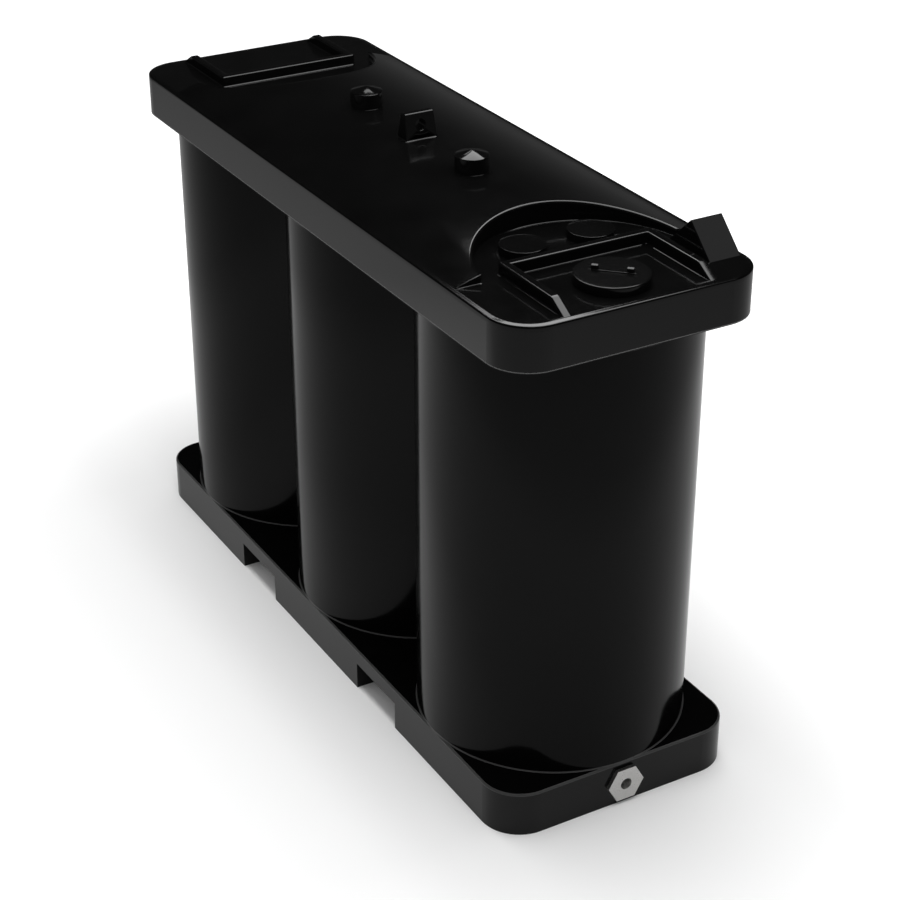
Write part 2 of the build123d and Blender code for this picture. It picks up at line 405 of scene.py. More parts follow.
# %% Ground heights
CROWN_TOP = 1362.0
DECK_FLAT = 1310.0
DECK_FLOOR = 1201.0
BASE_TOP = 116.0
HALF_LENGTH = 985.0
HALF_WIDTH = 330.0
CORNER_RADIUS = 100.0
CORNER_STEPS = 15
CROWN_HALF_WIDTH = 317.0
CROWN_END = 735.0
CROWN_RADIUS = (CROWN_HALF_WIDTH**2 + (CROWN_TOP - DECK_FLAT) ** 2) / (2 * (CROWN_TOP - DECK_FLAT))
BASE_EDGE = 5.0


def crown_height(y):
    """Height of the arched crown over a point across the tank."""
    return CROWN_TOP - CROWN_RADIUS + math.sqrt(CROWN_RADIUS**2 - y * y)


def crown_up(y):
    """Direction square to the arched crown."""
    return Vector((0.0, y / CROWN_RADIUS, math.sqrt(1 - (y / CROWN_RADIUS) ** 2)))


def depth_inside(x, y):
    """Distance from a point to the rounded outline of the deck and base."""
    dx = abs(x) - (HALF_LENGTH - CORNER_RADIUS)
    dy = abs(y) - (HALF_WIDTH - CORNER_RADIUS)
    return CORNER_RADIUS - (math.hypot(max(dx, 0.0), max(dy, 0.0)) + min(max(dx, dy), 0.0))


def base_height_at(x, y):
    """Height of the base's top panel, which rounds off at its edge."""
    drop = max(BASE_EDGE - max(depth_inside(x, y), 0.0), 0.0)
    return BASE_TOP - BASE_EDGE + math.sqrt(BASE_EDGE**2 - drop**2)


def outline_path():
    """Points and outward directions around the rounded outline of the deck and base."""
    path = []
    for quarter in range(4):
        sx, sy = ((1, 1), (-1, 1), (-1, -1), (1, -1))[quarter]
        centre = Vector((sx * (HALF_LENGTH - CORNER_RADIUS), sy * (HALF_WIDTH - CORNER_RADIUS), 0))
        for i in range(CORNER_STEPS + 1):
            angle = math.radians(90 * quarter + 90 * i / CORNER_STEPS)
            out = Vector((math.cos(angle), math.sin(angle), 0))
            path.append((centre + CORNER_RADIUS * out, out))
    return path


print("The crown is an arch of radius", round(CROWN_RADIUS), "mm")

# %% [markdown]
# ## Rolled edges of the deck and base
# The base and the deck have rounded shoulders, and the deck ends below in a seam bead. All three run once round
# the same outline, so one sweep serves them. The shoulder of the base fills out the flat chamfer of the solid, and its
# grey skin is a painted highlight line. The deck's fills out the solid's 13 mm fillet, because its real edge is finer.
# The seam is a bead 0.3 mm proud, and its light grey is a painted highlight line. A strip that lies on a solid stands a
# hair proud of it, so that the two surfaces don't fight.

# %% Base shoulder, deck shoulder and deck lip
BASE_PROUD = 0.05
DECK_FILLET = 13.0
DECK_EDGE = 4.2
DECK_EDGE_FALL = 0.9
LIP_INSET = 2.3
LIP_RADIUS = 2.6
BEAD_ARC = (-46.0, 136.0)


def rolled_edge(corners, inset, radius, start=0.0, end=90.0):
    """Cross sections of a round edge: each corner is a point, its outward direction and its upward direction."""
    sections = []
    for corner, out, up in corners:
        centre = corner - inset * (out + up)
        arc = [centre + radius * (math.cos(a) * out + math.sin(a) * up) for a in arc_angles(start, end)]
        sections.append(arc)
    return sections


# The base's shoulder wears the grey painted highlight skin.
shoulder = [(point + BASE_TOP * UP, out, UP) for point, out in outline_path()]
points, faces = facing(*sweep(rolled_edge(shoulder, BASE_EDGE, BASE_EDGE + BASE_PROUD), closed=True), (1, 1, 1))
place_piece("base_shoulder", points, faces, painted_highlight_skin)
edge = [(point + (DECK_FLAT - DECK_EDGE_FALL) * UP, out, UP) for point, out in outline_path()]
sections = []
for (corner, out, up), arc in zip(edge, rolled_edge(edge, DECK_EDGE, DECK_EDGE)):
    wall_end = corner - (DECK_FILLET - DECK_EDGE_FALL) * up
    sections.append([wall_end] + arc + [corner - DECK_FILLET * out + DECK_EDGE_FALL * up])
points, faces = facing(*sweep(sections, closed=True), (1, 1, 1))
place_piece("deck_shoulder", points, faces)
# The seam bead wears a dull light grey, a painted highlight line.
lip = [(point + DECK_FLOOR * UP, out, -UP) for point, out in outline_path()]
points, faces = facing(*sweep(rolled_edge(lip, LIP_INSET, LIP_RADIUS, *BEAD_ARC), closed=True), (1, 1, -1))
place_piece("deck_lip", points, faces, painted_seam_line)
print("Rolled edges: base", BASE_EDGE, "mm, deck", DECK_EDGE, "mm, lip", LIP_RADIUS, "mm")

# %% [markdown]
# ## Feet of the lobes
# Each lobe flows into the base and into the underside of the deck. The flow is only a few millimetres wide, and at the
# long sides the lobe stands almost flush with the edge, so there the strip narrows and follows the shoulder down.

# %% Lobe feet and lobe tops
LOBE_RADIUS = 329.0
LOBE_PLACES = {"near": 655.0, "middle": 0.0, "far": -655.0}
LOBE_FLOW = 3.0
LOBE_FLOW_LEAST = 0.5
LOBE_FLOW_MARGIN = 0.1
LOBE_STEP_DEGREES = 2


def lobe_flow(centre_x, under):
    """Cross sections of the concave strip between a lobe and the base, or the deck above it."""
    sections = []
    for degrees in range(0, 360, LOBE_STEP_DEGREES):
        out = Vector((math.cos(math.radians(degrees)), math.sin(math.radians(degrees)), 0))
        wall = Vector((centre_x, 0, 0)) + LOBE_RADIUS * out
        reach = min(LOBE_FLOW, max(depth_inside(wall.x, wall.y) - LOBE_FLOW_MARGIN, LOBE_FLOW_LEAST))
        foot = wall + reach * out
        low = DECK_FLOOR if under else base_height_at(foot.x, foot.y)
        rise = -LOBE_FLOW if under else BASE_TOP + LOBE_FLOW - low
        arc = []
        for a in arc_angles():
            arc.append(wall + reach * (1 - math.sin(a)) * out + (low + rise * (1 - math.cos(a))) * UP)
        sections.append(arc)
    return sections


# The lobes' foot strips wear the grey painted highlight skin, a painted thin light line round each foot.
for name, x in LOBE_PLACES.items():
    for under, title in ((False, "foot"), (True, "top")):
        outward = (1, 0, -1 if under else 1)
        points, faces = facing(*sweep(lobe_flow(x, under), closed=True), outward)
        place_piece(f"{name}_lobe_{title}_flow", points, faces, lobe_skin if under else painted_highlight_skin)
print("Lobe strips:", 2 * len(LOBE_PLACES))

# %% [markdown]
# ## Round bays and the ends of the crown
# The crown stops in an upright wall at each end, and a round bay is sunk into it. The mould leaves a rounded rim along
# the top of these walls and a hollow one along their foot. Under a soft box they show as two thin bright lines.

# %% Paths along the upright walls
BAY_RADIUS = 257.0
BAY_CENTRE = 770.0
BAY_STEPS = 72
END_GAP = 1.0
END_STEPS = 12


def bay_path(side):
    """Points along the wall of a round bay, with directions towards the middle of the bay."""
    half_angle = math.acos((BAY_CENTRE - CROWN_END) / BAY_RADIUS)
    path = []
    for i in range(BAY_STEPS + 1):
        angle = half_angle * (2 * i / BAY_STEPS - 1)
        out = Vector((side * math.cos(angle), math.sin(angle), 0))
        point = Vector((side * BAY_CENTRE, 0, 0)) - BAY_RADIUS * out
        path.append((point, out))
    return path


def end_path(side, hand):
    """Points along the upright end of the crown, from the bay out to the long side, with outward directions."""
    bay_mouth = math.sqrt(BAY_RADIUS**2 - (BAY_CENTRE - CROWN_END) ** 2)
    out = Vector((side, 0, 0))
    path = []
    for i in range(END_STEPS + 1):
        y = bay_mouth + (CROWN_HALF_WIDTH - END_GAP - bay_mouth) * i / END_STEPS
        path.append((Vector((side * CROWN_END, hand * y, 0)), out))
    return path


print("Steps along a bay:", BAY_STEPS, "and along a crown end:", END_STEPS)

# %% Hollow feet
FOOT_HOLLOW = 4.0
FOOT_SHARE_OF_WALL = 0.85
FOOT_LEAST = 0.05


def hollow_foot(path, radius, ground, wall_height=None):
    """Cross sections of a concave strip along the foot of a wall. Where the wall gets low, the strip gets smaller."""
    sections = []
    for point, out in path:
        size = radius
        if wall_height is not None:
            size = min(radius, max(FOOT_SHARE_OF_WALL * wall_height(point), FOOT_LEAST))
        arc = []
        for a in arc_angles():
            spot = point + size * (1 - math.sin(a)) * out
            arc.append(spot + (ground(spot) + size * (1 - math.cos(a))) * UP)
        sections.append(arc)
    return sections


def deck_ground(point):
    """Height of the flat ends of the deck."""
    return DECK_FLAT


def crown_ground(point):
    """Height of the crown under a point."""
    return crown_height(point.y)


def wall_above_flat(point):
    """Height of the crown's end wall at a point."""
    return crown_height(point.y) - DECK_FLAT


print("Hollow feet:", FOOT_HOLLOW, "mm")

# %% Bay rims, bay feet and crown ends
BAY_RIM = 5.0
RIM_PROUD = 0.1
RIM_ARC = (-4.0, 94.0)
END_INSET = 2.2
END_RADIUS = 3.15

for side, end in ENDS:
    bay = bay_path(side)
    rim = [(point + crown_height(point.y) * UP, out, crown_up(point.y)) for point, out in bay]
    points, faces = facing(*sweep(rolled_edge(rim, BAY_RIM, BAY_RIM + RIM_PROUD, *RIM_ARC)), (side, 0, 1))
    place_piece(f"{end}_bay_rim", points, faces)
    points, faces = facing(*sweep(hollow_foot(bay, FOOT_HOLLOW, deck_ground)), (side, 0, 1))
    place_piece(f"{end}_bay_foot", points, faces)
    for hand, title in ((-1, "left"), (1, "right")):
        wall = end_path(side, hand)
        top = [(point + crown_height(point.y) * UP, out, crown_up(point.y)) for point, out in wall]
        points, faces = facing(*sweep(rolled_edge(top, END_INSET, END_RADIUS, *BEAD_ARC)), (side, 0, 1))
        place_piece(f"{end}_{title}_crown_end_edge", points, faces)
        points, faces = facing(*sweep(hollow_foot(wall, FOOT_HOLLOW, deck_ground, wall_above_flat)), (side, 0, 1))
        place_piece(f"{end}_{title}_crown_end_foot", points, faces)
print("Bay rims:", BAY_RIM, "mm")

# %% [markdown]
# ## Turned forms
# The vent stubs, the bosses and the screw cap are all round. A lathe is the plain way to make them: half of the cross
# section is written once as a row of radius and height, and is turned about an upright line. The stub's foot has to
# follow the arch of the crown, so the lathe takes a ground height for each point. A profile that ends on the axis
# stops at a tiny radius, so that all its faces keep four sides.

# %% Lathe
LATHE_STEPS = 96
ON_AXIS = 0.01


def lathe(profile, centre, ground):
    """Points and faces of a profile of (radius, height) turned about an upright line."""
    sections = []
    for i in range(LATHE_STEPS):
        angle = 2 * math.pi * i / LATHE_STEPS
        out = Vector((math.cos(angle), math.sin(angle), 0))
        section = []
        for radius, height in profile:
            spot = Vector((centre[0], centre[1], 0)) + radius * out
            section.append(spot + (ground(spot, height) + height) * UP)
        sections.append(section)
    return sweep(sections, closed=True)


def arc_profile(centre_radius, centre_height, radius, start, end):
    """Arc of a lathe profile, between two angles measured from straight outwards."""
    arc = []
    for a in arc_angles(start, end):
        arc.append((centre_radius + radius * math.cos(a), centre_height + radius * math.sin(a)))
    return arc


print("The lathe turns in", LATHE_STEPS, "steps")

# %% [markdown]
# ## Vent stubs and bosses
# Two plain stubs with a shallow point stand on the crown, and two low bosses on the floor of the filler-end bay. Each
# skin lies half a millimetre over its solid, with a rounded shoulder and a hollow foot.

# %% Vent stubs and bosses
STUB_RADIUS = 41.0
STUB_HEIGHT = 38.0
STUB_POINT = 12.0
STUB_SHOULDER = 1.6
STUB_SHOULDER_DROP = 0.9
STUB_SHOULDER_END = 73
STUB_TIP = ((0.6, 0.4), (ON_AXIS, 0.45))
STUB_PLACES = {"near": (263.0, 0.0), "far": (-263.0, 0.0)}
BOSS_RADIUS = 54.0
BOSS_HEIGHT = 20.0
BOSS_SHOULDER = 1.0
BOSS_RIM = 8.0
TURNED_FOOT = 0.7
BOSS_PLACES = {"left": (636.0, -89.0), "right": (636.0, 89.0)}
SKIN = 0.5


def stub_ground(point, height):
    """The foot of a stub follows the crown, and the rest is level."""
    return crown_height(point.y) if height < FOOT_HOLLOW + 1 else CROWN_TOP


def boss_ground(point, height):
    """A boss stands on the flat deck."""
    return DECK_FLAT


def foot_profile(radius, hollow):
    """Hollow foot of a round form, from the ground up to its wall."""
    return [(radius + hollow * (1 - math.sin(a)), hollow * (1 - math.cos(a))) for a in arc_angles()]


stub_profile = foot_profile(STUB_RADIUS + SKIN, TURNED_FOOT)
stub_profile += arc_profile(
    STUB_RADIUS + SKIN - STUB_SHOULDER, STUB_HEIGHT - STUB_SHOULDER_DROP, STUB_SHOULDER, 0, STUB_SHOULDER_END
)
stub_profile += [(radius, STUB_HEIGHT + STUB_POINT + over) for radius, over in STUB_TIP]
for name, place in STUB_PLACES.items():
    points, faces = facing(*lathe(stub_profile, place, stub_ground), (1, 0, 1))
    place_piece(f"{name}_vent_stub_skin", points, faces)

boss_profile = foot_profile(BOSS_RADIUS + SKIN, TURNED_FOOT)
boss_profile += arc_profile(
    BOSS_RADIUS + SKIN - BOSS_SHOULDER, BOSS_HEIGHT + SKIN - BOSS_SHOULDER, BOSS_SHOULDER, 0, 90
)
boss_profile += [(BOSS_RADIUS - BOSS_RIM, BOSS_HEIGHT + SKIN), (ON_AXIS, BOSS_HEIGHT + SKIN)]
for name, place in BOSS_PLACES.items():
    points, faces = facing(*lathe(boss_profile, place, boss_ground), (1, 0, 1))
    place_piece(f"{name}_bay_boss_skin", points, faces)
print("Turned forms:", len(STUB_PLACES), "stubs and", len(BOSS_PLACES), "bosses")

# %% [markdown]
# ## Screw cap
# The cap is a shallow hollow disc that drops over the neck. Its edge is rounded by three millimetres, and its lower
# edge is eased by one. It is moulded apart from the tank, so it rides on the cap's own body and lifts with it.

# %% Screw cap
CAP_PLACE = (867.0, -8.0)
CAP_RADIUS = 85.0
CAP_TOP = 22.0
CAP_FOOT = 0.3
CAP_PLATE = 5.0
CAP_BORE = 79.5
CAP_EDGE = 3.0
CAP_LOWER_EDGE = 1.0
CAP_RIM = 12.0

cap_profile = [(ON_AXIS, CAP_TOP - CAP_PLATE), (CAP_BORE, CAP_TOP - CAP_PLATE), (CAP_BORE, CAP_FOOT)]
cap_profile += arc_profile(CAP_RADIUS - CAP_LOWER_EDGE, CAP_FOOT + CAP_LOWER_EDGE, CAP_LOWER_EDGE, -90, 0)
cap_profile += arc_profile(CAP_RADIUS - CAP_EDGE, CAP_TOP - CAP_EDGE, CAP_EDGE, 0, 90)
cap_profile += [(CAP_RADIUS - CAP_RIM, CAP_TOP), (ON_AXIS, CAP_TOP)]
points, faces = lathe(cap_profile, CAP_PLACE, boss_ground)
cap_disc = place_piece("screw_cap", points, faces, cap_skin, "cap")
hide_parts("filler_cap")
print("Screw cap:", 2 * CAP_RADIUS, "mm wide, edge", CAP_EDGE, "mm")

# %% [markdown]
# ## Bevelled pieces
# The grip, the frames, the wedge and the lug are plain forms with rounded edges. bmesh edits a mesh in code, and its
# bevel rounds the edges that it is given: those that turn by more than a few degrees and don't lie on the deck. A
# modifier then weights the normals by the size of the faces, so that flat faces look flat right up to the rounding.

# %% Helpers for bevelled pieces
HAIR = 0.1
BEVEL_STEPS = 4
FLAT_DEGREES = 5
SHARP_DEGREES = 40


def even_normals(piece):
    """Round only the edges: large flat faces keep their own direction."""
    piece.modifiers.new("even_normals", "WEIGHTED_NORMAL").keep_sharp = True


def soften(piece, radius, keep_below, keep_above=math.inf):
    """Round every edge of a piece that isn't wholly below one height and doesn't reach above the other."""
    shape = bmesh.new()
    shape.from_mesh(piece.data)
    bmesh.ops.recalc_face_normals(shape, faces=shape.faces)
    edges = []
    for edge in shape.edges:
        low = all(v.co.z < keep_below * MM for v in edge.verts)
        high = any(v.co.z > keep_above * MM for v in edge.verts)
        if not low and not high and edge.calc_face_angle(0.0) > math.radians(FLAT_DEGREES):
            edges.append(edge)
    bmesh.ops.bevel(
        shape, geom=edges, offset=radius * MM, offset_type="OFFSET", segments=BEVEL_STEPS, profile=0.5, affect="EDGES"
    )
    for face in shape.faces:
        face.smooth = True
    for edge in shape.edges:
        edge.smooth = edge.calc_face_angle(0.0) < math.radians(SHARP_DEGREES)
    shape.to_mesh(piece.data)
    shape.free()
    if not piece.modifiers:
        even_normals(piece)


print("Each bevel has", BEVEL_STEPS, "steps")

# %% [markdown]
# ## Grip of the screw cap
# A bar is laid between two square posts on the cap to turn it, and a low rib joins them. The posts slope down a little
# at the front. The grip is three boxes in one mesh, and the posts and the rib are bevelled by different amounts.

# %% Grip of the screw cap
GRIP_ANGLE = 46.0
GRIP_RIB = (104.0, 3.0, 2.5)
GRIP_POST = (15.0, 15.0, 13.0)
GRIP_SPACING = 78.0
RIB_EDGE = 1.0
POST_EDGE = 0.8
POST_SLOPE = (5.0, 2.0)


def box_corners(size, place, slope=(0.0, 0.0)):
    """Corners and faces of an upright box. Its top can slope down at the front, by a depth and a fall."""
    x, y, height = size[0] / 2, size[1] / 2, size[2]
    depth, fall = slope
    top_front = [(depth - y, height), (-y, height - fall)] if fall else [(-y, height)]
    profile = [(y, 0), (y, height)] + top_front + [(-y, 0)]
    corners = [Vector(place) + Vector((i * x, j, k)) for i in (-1, 1) for j, k in profile]
    count = len(profile)
    sides = [(i, (i + 1) % count, (i + 1) % count + count, i + count) for i in range(count)]
    return corners, [tuple(range(count)), tuple(reversed(range(count, 2 * count)))] + sides


grip_points, grip_faces = [], []
for size, place, slope in (
    (GRIP_RIB, (0, 0, 0), (0.0, 0.0)),
    (GRIP_POST, (-GRIP_SPACING / 2, GRIP_POST[1] / 2, 0), POST_SLOPE),
    (GRIP_POST, (GRIP_SPACING / 2, GRIP_POST[1] / 2, 0), POST_SLOPE),
):
    corners, box_faces = box_corners(size, place, slope)
    grip_faces += [tuple(i + len(grip_points) for i in face) for face in box_faces]
    grip_points += corners
turn = math.radians(GRIP_ANGLE)
turned = []
for point in grip_points:
    x = CAP_PLACE[0] + point.x * math.cos(turn) - point.y * math.sin(turn)
    y = CAP_PLACE[1] + point.x * math.sin(turn) + point.y * math.cos(turn)
    turned.append((x, y, DECK_FLAT + CAP_TOP + point.z))
grip = place_piece("screw_cap_grip", turned, grip_faces, cap_skin, "cap")
rib_top = DECK_FLAT + CAP_TOP + GRIP_RIB[2] + HAIR
soften(grip, POST_EDGE, keep_below=rib_top)
soften(grip, RIB_EDGE, keep_below=DECK_FLAT + CAP_TOP + HAIR, keep_above=rib_top)
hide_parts("cap_grip")
print("Grip posts:", GRIP_SPACING, "mm apart")

# %% [markdown]
# ## Upstand frames
# Each end of the deck carries a low three-sided frame, moulded in one with it, whose arms end in short ramps. It is
# drawn as one outline and pulled up. The ramps come from top corners that stand back from the bottom ones. Its edges
# are rounded, and a hollow strip runs along its foot inside and out, and dies away down the ramps.

# %% Moulding of a frame
FRAME_BACK = 710.0
FRAME_RIB = 22.0
FRAME_RAMP_TOP = 921.0
FRAME_RAMP_FOOT = 970.0
FRAME_INNER = 175.5
FRAME_OUTER = 197.5
FRAME_HEIGHT = 28.0
FRAME_EDGE = 4.2


def frame_moulding(name, side, replaced):
    """Frame with rounded edges in place of its bar and two arms."""
    inside = FRAME_BACK + FRAME_RIB
    foot = [
        (FRAME_BACK, -FRAME_OUTER), (FRAME_RAMP_FOOT, -FRAME_OUTER), (FRAME_RAMP_FOOT, -FRAME_INNER),
        (inside, -FRAME_INNER), (inside, FRAME_INNER), (FRAME_RAMP_FOOT, FRAME_INNER),
        (FRAME_RAMP_FOOT, FRAME_OUTER), (FRAME_BACK, FRAME_OUTER),
    ]
    low = [(side * x, y, DECK_FLAT) for x, y in foot]
    high = [(side * min(x, FRAME_RAMP_TOP), y, DECK_FLAT + FRAME_HEIGHT) for x, y in foot]
    count = len(foot)
    sides = [(i, (i + 1) % count, (i + 1) % count + count, i + count) for i in range(count)]
    faces = [tuple(reversed(range(count))), tuple(range(count, 2 * count))] + sides
    piece = place_piece(name, low + high, faces)
    soften(piece, FRAME_EDGE, DECK_FLAT + HAIR)
    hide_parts(*replaced)


print("Frame:", FRAME_HEIGHT, "mm high, edge", FRAME_EDGE, "mm")


# %% Paths with corners
def mitred(points, hand):
    """Points of an open path, each with a sideways direction that keeps an even distance round corners."""
    path = []
    for i, point in enumerate(points):
        before = (point - points[i - 1]).normalized() if i else None
        after = (points[i + 1] - point).normalized() if i + 1 < len(points) else None
        before, after = before or after, after or before
        left = [Vector((-d.y, d.x, 0)) * hand for d in (before, after)]
        middle = (left[0] + left[1]).normalized()
        path.append((point, middle / middle.dot(left[0])))
    return path


def eased(points, gap=6.0):
    """Path with an extra point on both sides of each corner, so that the shading turns only there."""
    path = [points[0]]
    for before, corner, after in zip(points, points[1:], points[2:]):
        path += [corner + gap * (before - corner).normalized(), corner, corner + gap * (after - corner).normalized()]
    return path + [points[-1]]


def ramp_wall(point):
    """Height of a frame's side wall, which falls along the ramp."""
    fall = (FRAME_RAMP_FOOT - abs(point.x)) / (FRAME_RAMP_FOOT - FRAME_RAMP_TOP)
    return FRAME_HEIGHT * min(max(fall, 0.0), 1.0)


print("The ramps are", FRAME_RAMP_FOOT - FRAME_RAMP_TOP, "mm long")

# %% Upstand frames
for side, end in ENDS:
    bars = [f"{end}_frame_{part}" for part in ("bar", "left_arm", "right_arm")]
    frame_moulding(f"{end}_frame_moulding", side, bars)
    for reach, back, turn_hand, title in (
        (FRAME_OUTER, FRAME_BACK, 1, "outside"),
        (FRAME_INNER, FRAME_BACK + FRAME_RIB, -1, "inside"),
    ):
        corners = [(FRAME_RAMP_FOOT, -reach), (FRAME_RAMP_TOP, -reach), (back, -reach)]
        corners += [(x, -y) for x, y in reversed(corners)]
        path = mitred(eased([Vector((side * x, y, 0)) for x, y in corners]), turn_hand * side)
        first_out = (0, -turn_hand, 1)
        points, faces = facing(*sweep(hollow_foot(path, FOOT_HOLLOW, deck_ground, ramp_wall)), first_out)
        place_piece(f"{end}_frame_{title}_foot", points, faces)
print("Frames:", len(ENDS))

# %% [markdown]
# ## Wedge block and lifting lug
# The wedge is a plain tent with softened edges. The lug tapers both ways and has a round eye through it. Its face is a
# ring of four-sided faces between the eye and the outline, so the eye stays round and the corners can be rounded.

# %% Wedge block
WEDGE_START = 735.0
WEDGE_LENGTH = 154.0
WEDGE_WIDTH = 85.0
WEDGE_HEIGHT = 73.0
WEDGE_EDGE = 2.5

wedge_points = []
for y in (CROWN_HALF_WIDTH - WEDGE_WIDTH, CROWN_HALF_WIDTH):
    for x, z in ((0, 0), (WEDGE_LENGTH, 0), (WEDGE_LENGTH / 2, WEDGE_HEIGHT)):
        wedge_points.append((WEDGE_START + x, y, DECK_FLAT + z))
wedge_faces = [(0, 1, 2), (3, 5, 4), (0, 3, 4, 1), (1, 4, 5, 2), (2, 5, 3, 0)]
wedge = place_piece("wedge_moulding", wedge_points, wedge_faces)
soften(wedge, WEDGE_EDGE, DECK_FLAT + HAIR)
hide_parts("wedge_block")
print("Wedge:", WEDGE_LENGTH, "by", WEDGE_WIDTH, "by", WEDGE_HEIGHT, "mm")

# %% Outline of the lifting lug
LUG_HEIGHT = 64.0
LUG_FOOT = (46.0, 86.0)
LUG_TOP = (20.0, 80.0)
EYE_RADIUS = 14.0
EYE_HEIGHT = 34.0
EYE_STEPS = 36
LEAST_STEP = 0.06
NEARLY_ZERO = 1e-6


def lug_half_depth(height):
    """Half the lug's depth at a height."""
    return (LUG_FOOT[0] + (LUG_TOP[0] - LUG_FOOT[0]) * height / LUG_HEIGHT) / 2


def lug_edge_point(angle):
    """Where a ray from the middle of the eye meets the lug's outline."""
    dy, dz = math.cos(angle), math.sin(angle)
    slope = (LUG_TOP[1] - LUG_FOOT[1]) / 2 / LUG_HEIGHT
    reaches = [(LUG_FOOT[1] / 2 + slope * EYE_HEIGHT) / (abs(dy) - slope * dz)] if abs(dy) > NEARLY_ZERO else []
    reaches.append((LUG_HEIGHT - EYE_HEIGHT) / dz if dz > NEARLY_ZERO else math.inf)
    reaches.append(-EYE_HEIGHT / dz if dz < -NEARLY_ZERO else math.inf)
    reach = min(r for r in reaches if r > 0)
    return reach * dy, EYE_HEIGHT + reach * dz


corner_angles = []
for width, z in ((LUG_FOOT[1], 0), (LUG_TOP[1], LUG_HEIGHT)):
    for hand in (1, -1):
        corner_angles.append(math.atan2(z - EYE_HEIGHT, hand * width / 2) % (2 * math.pi))
even_angles = [2 * math.pi * i / EYE_STEPS for i in range(EYE_STEPS)]
even_angles = [a for a in even_angles if min(abs(a - c) for c in corner_angles) > LEAST_STEP]
angles = sorted(corner_angles + even_angles)
eye_ring = [(EYE_RADIUS * math.cos(angle), EYE_HEIGHT + EYE_RADIUS * math.sin(angle)) for angle in angles]
edge_ring = [lug_edge_point(angle) for angle in angles]
print("The lug's face has", len(angles), "rays from the eye to the outline")

# %% Lifting lug
LUG_EDGE = 3.0
EYE_EDGE = 1.2
EYE_BEVEL_STEPS = 3

lug_points = []
for side in (1, -1):
    for ring in (eye_ring, edge_ring):
        lug_points += [(side * lug_half_depth(z), y, CROWN_TOP + z) for y, z in ring]
count = len(angles)
lug_faces = []
for i in range(count):
    j = (i + 1) % count
    lug_faces.append((i, i + count, j + count, j))
    lug_faces.append((i + 2 * count, j + 2 * count, j + 3 * count, i + 3 * count))
    lug_faces.append((i, j, j + 2 * count, i + 2 * count))
    lug_faces.append((i + count, i + 3 * count, j + 3 * count, j + count))
lug = place_piece("lifting_lug_moulding", lug_points, lug_faces)
shape = bmesh.new()
shape.from_mesh(lug.data)
bmesh.ops.recalc_face_normals(shape, faces=shape.faces)
eye_edges, lug_edges = [], []
for edge in shape.edges:
    spots = [v.co / MM for v in edge.verts]
    if edge.calc_face_angle(0.0) < math.radians(SHARP_DEGREES) or all(p.z < CROWN_TOP + HAIR for p in spots):
        continue
    near_eye = all(math.hypot(p.y, p.z - CROWN_TOP - EYE_HEIGHT) < EYE_RADIUS + 1 for p in spots)
    (eye_edges if near_eye else lug_edges).append(edge)
bmesh.ops.bevel(shape, geom=eye_edges, offset=EYE_EDGE * MM, segments=EYE_BEVEL_STEPS, profile=0.5, affect="EDGES")
lug_edges = [edge for edge in lug_edges if edge.is_valid]
bmesh.ops.bevel(shape, geom=lug_edges, offset=LUG_EDGE * MM, segments=BEVEL_STEPS, profile=0.5, affect="EDGES")
for face in shape.faces:
    face.smooth = True
shape.to_mesh(lug.data)
shape.free()
even_normals(lug)
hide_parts("lifting_lug")
print("Lug eye:", 2 * EYE_RADIUS, "mm")

# %% Foot of the lifting lug
x, y = LUG_FOOT[0] / 2, LUG_FOOT[1] / 2
lug_outline = [Vector(corner) for corner in ((x, -y, 0), (x, y, 0), (-x, y, 0), (-x, -y, 0))]
lug_path = mitred(eased([lug_outline[-1]] + lug_outline + [lug_outline[0]]), -1)[1:-1]
points, faces = facing(*sweep(hollow_foot(lug_path, FOOT_HOLLOW, crown_ground), closed=True), (1, 0, 1))
place_piece("lifting_lug_foot", points, faces)
print("Lug foot:", LUG_FOOT[0], "by", LUG_FOOT[1], "mm")

# %% [markdown]
# ## Thread in the outlet
# The bush has a pipe thread. Its crests are too fine to model as a true helix in a picture of this size, so they are
# turned as separate rings at the real pitch, which look the same from any side.

# %% Outlet thread
THREAD_RADIUS = 15.15
THREAD_DEPTH = 1.2
THREAD_PITCH = 2.309
THREAD_TURNS = 12
THREAD_LEAD = 1.0
THREAD_CREST = (0.45, 0.55)
THREAD_CLEARANCE = 0.05
BUSH_FACE = 995.0

root_radius = THREAD_RADIUS - THREAD_CLEARANCE
thread_profile = [(THREAD_RADIUS, 0.0), (root_radius, -THREAD_LEAD)]
for turn_number in range(THREAD_TURNS):
    start = -THREAD_LEAD - turn_number * THREAD_PITCH
    for share in THREAD_CREST:
        thread_profile.append((THREAD_RADIUS - THREAD_DEPTH, start - share * THREAD_PITCH))
    thread_profile.append((root_radius, start - THREAD_PITCH))
points, faces = lathe(thread_profile, (0.0, 0.0), lambda point, height: 0.0)
points = [(BUSH_FACE + z, OUTLET_AXIS_MM[0] + x, OUTLET_AXIS_MM[1] + y) for x, y, z in points]
place_piece("outlet_thread", points, faces, outlet_steel)
print("Thread:", THREAD_TURNS, "rings at", THREAD_PITCH, "mm")

# %% [markdown]
# ## The floor
# The photograph has a white floor with a soft shadow. The floor is a middle grey for the light that bounces off it,
# so that it doesn't wash out the black. The camera, gloss and metal see the same matt surface in near white. Close to
# the tank it has no glow, so the shadow stays, and further out a glow carries it over into the white background. What
# the gloss mirrors is painted darker away from the tank, a painted pool of light as in a studio where the light pools
# around the object.

# %% Floor
FLOOR_HALF = 60.0
FLOOR_SEEN_COLOUR = "#F2F2F2"
FLOOR_BOUNCE_COLOUR = "#B3B3B3"
FAR_GLOW = 0.6
GLOW_START = 1.1
GLOW_END = 3.0
POOL_SIZE = 10.0
POOL_STOPS = ((0.6, 0.2), (1.2, 0.42), (2.1, 0.47), (2.6, 0.66), (4.8, 0.71), (6.0, 0.97), (10.0, 0.99))


